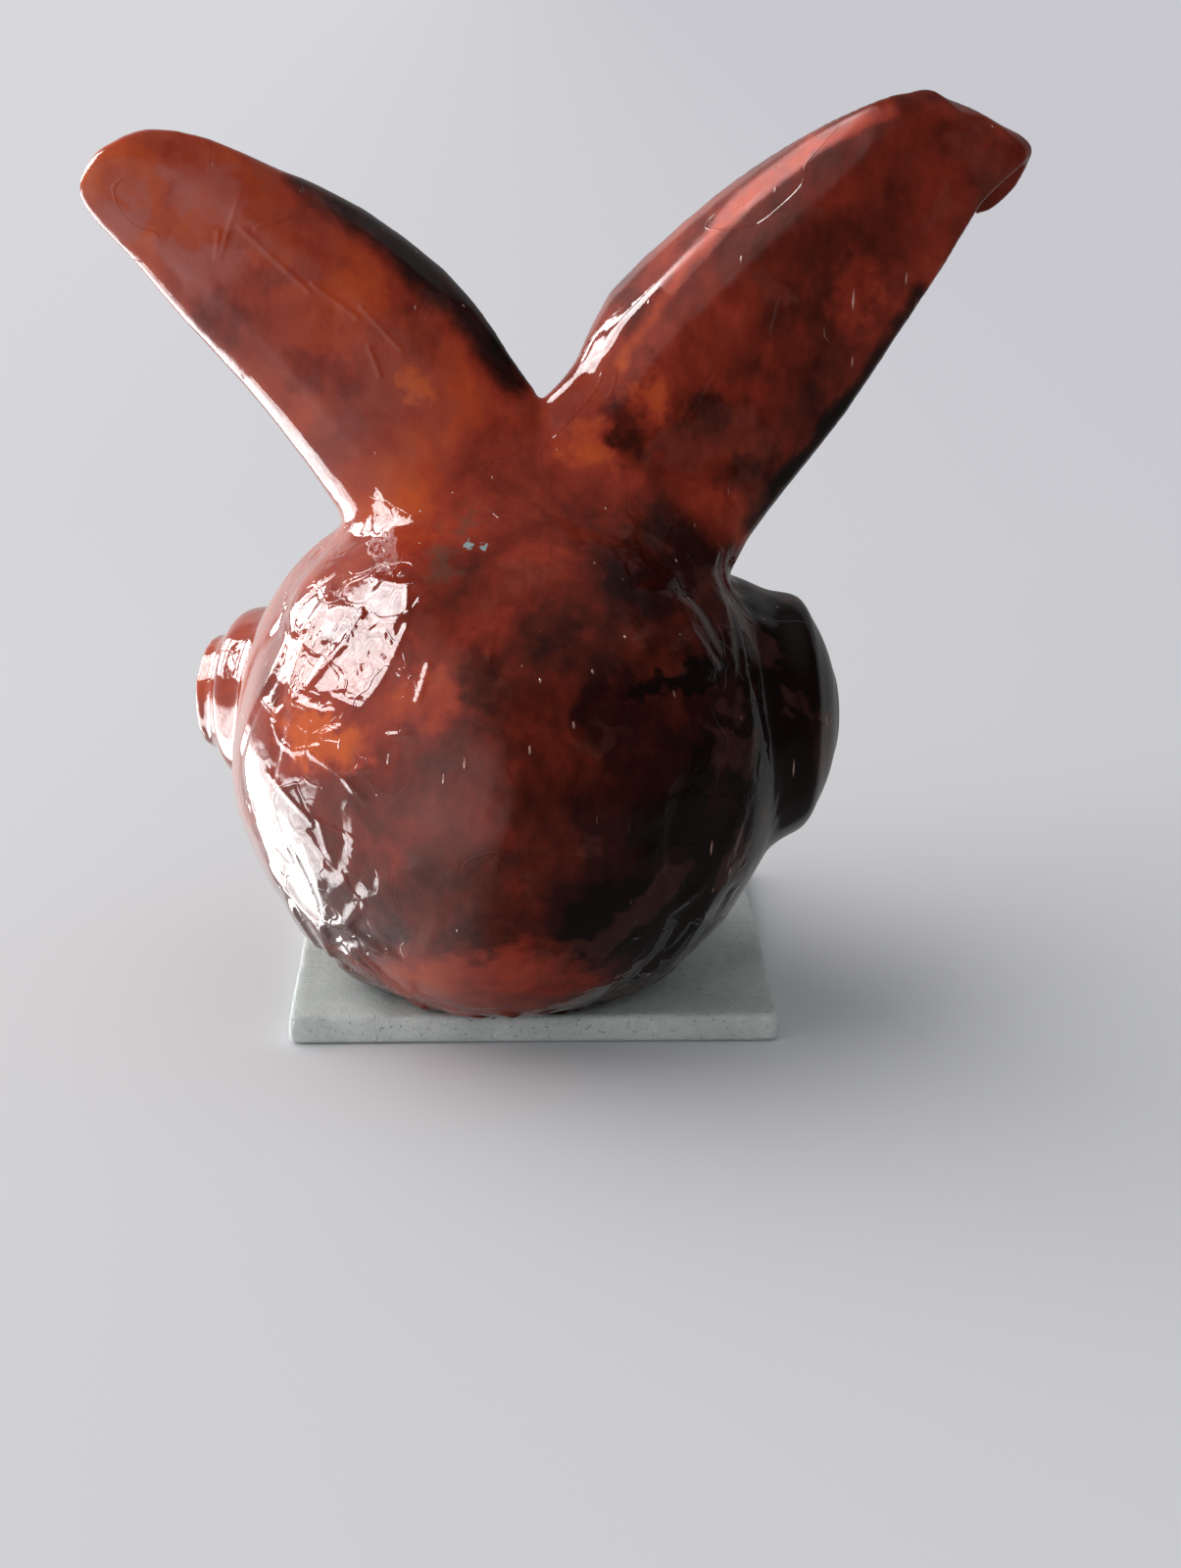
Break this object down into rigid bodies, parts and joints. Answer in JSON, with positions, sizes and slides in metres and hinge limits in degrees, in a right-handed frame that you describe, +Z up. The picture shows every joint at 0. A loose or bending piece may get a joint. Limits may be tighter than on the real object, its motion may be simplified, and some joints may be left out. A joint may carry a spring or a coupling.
{
  "type": "rabbit head figurine",
  "caption": "Glossy red rabbit head with spread ears, one tip curled, and disc eyes, standing on a thin pale square slab.",
  "frame": {"origin": "centre of the slab's flat underside", "axes": "+Z up, the rabbit's face towards -Y, the rabbit's left side towards +X"},
  "size_m": [0.1298, 0.0894, 0.1308],
  "materials": {
    "red_varnish": "tissue paper soaked in red and brown paint under thick clear gloss varnish",
    "dark_gloss": "black-brown gloss varnish",
    "pale_plaster": "matt grey-green paint brushed over plaster",
    "white_foam": "expanded foam beads",
    "armature_wire": "bare drawn wire",
    "pale_wood": "unfinished birch"
  },
  "bodies": {
    "root": {"base_slab": "pale_plaster", "mounting_dowel": "pale_wood", "foam_core": "white_foam", "head_skin": "red_varnish", "left_ear": "red_varnish", "left_ear_wire": "armature_wire", "left_eye_disc": "red_varnish", "left_eye": "dark_gloss", "left_eye_peg": "pale_wood", "left_cheek": "red_varnish", "right_ear": "red_varnish", "right_ear_wire": "armature_wire", "right_eye_disc": "red_varnish", "right_eye": "dark_gloss", "right_eye_peg": "pale_wood", "right_cheek": "red_varnish", "nose": "dark_gloss", "chin": "red_varnish"}
  },
  "joints": []
}
